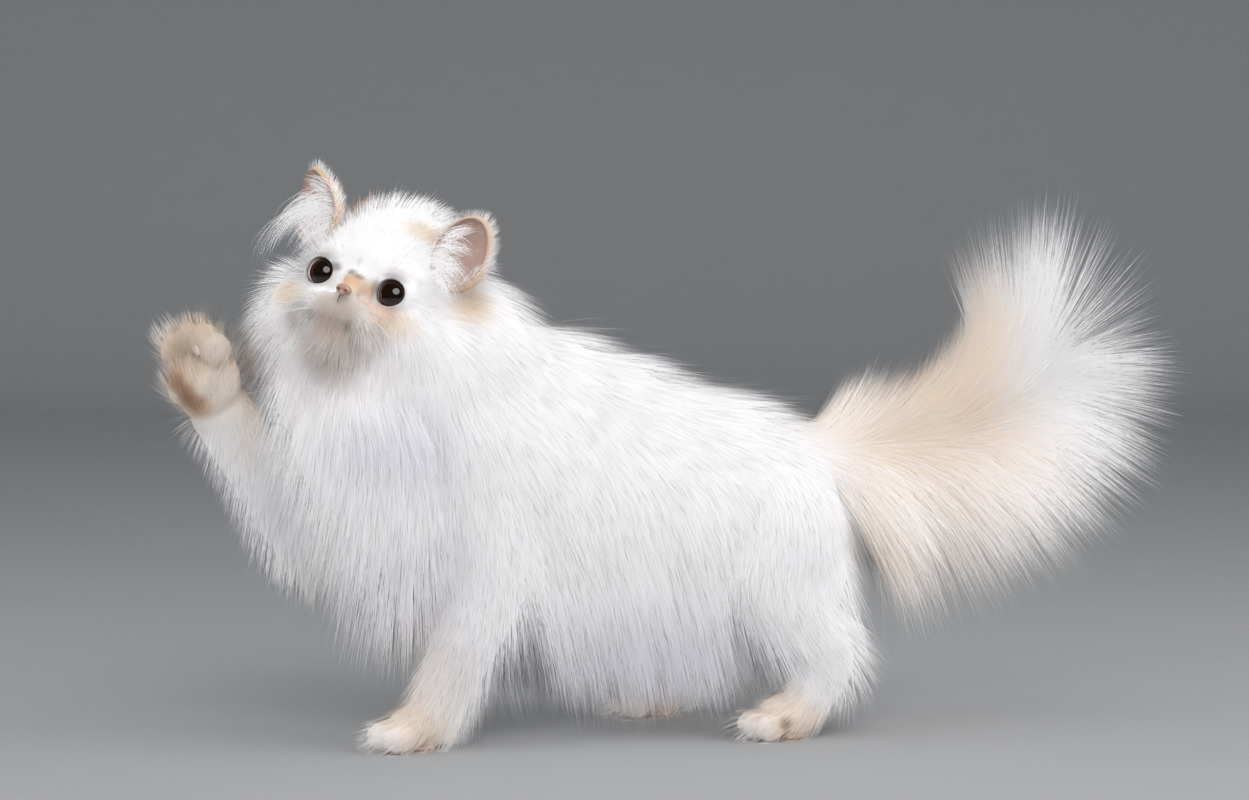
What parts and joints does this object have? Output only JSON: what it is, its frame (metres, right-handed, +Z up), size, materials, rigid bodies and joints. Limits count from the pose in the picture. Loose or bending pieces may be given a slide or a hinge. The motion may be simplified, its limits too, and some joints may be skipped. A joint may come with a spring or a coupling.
{
  "type": "Persian cat model",
  "caption": "Still, life-size museum model of a long-haired Persian cat standing with one forepaw raised, head turned and plumed tail held up.",
  "frame": {"origin": "centre of the bounding box's bottom face, on the floor under the body", "axes": "+X from the nose end to the tail end along the body, the cat facing -X; -Y is the cat's left side; +Z up"},
  "size_m": [0.6786, 0.2168, 0.3777],
  "materials": {
    "white_coat": "long soft white coat, cottony and matte",
    "cream_coat": "short cream to orange fur, matte",
    "eye": "wet, glossy dark brown eyeball"
  },
  "bodies": {
    "root": {"head": "white_coat", "ear_left": "cream_coat", "ear_right": "cream_coat", "eye_left": "eye", "eye_right": "eye", "neck": "white_coat", "torso": "white_coat", "tail_base": "white_coat", "tail_middle": "white_coat", "tail_tip": "white_coat", "foreleg_left": "white_coat", "foreleg_right_upper": "white_coat", "foreleg_right_lower": "white_coat", "hindleg_left": "white_coat", "hindleg_right": "white_coat", "forepaw_left": "cream_coat", "forepaw_right": "cream_coat", "hindpaw_left": "cream_coat", "hindpaw_right": "cream_coat"}
  },
  "joints": []
}
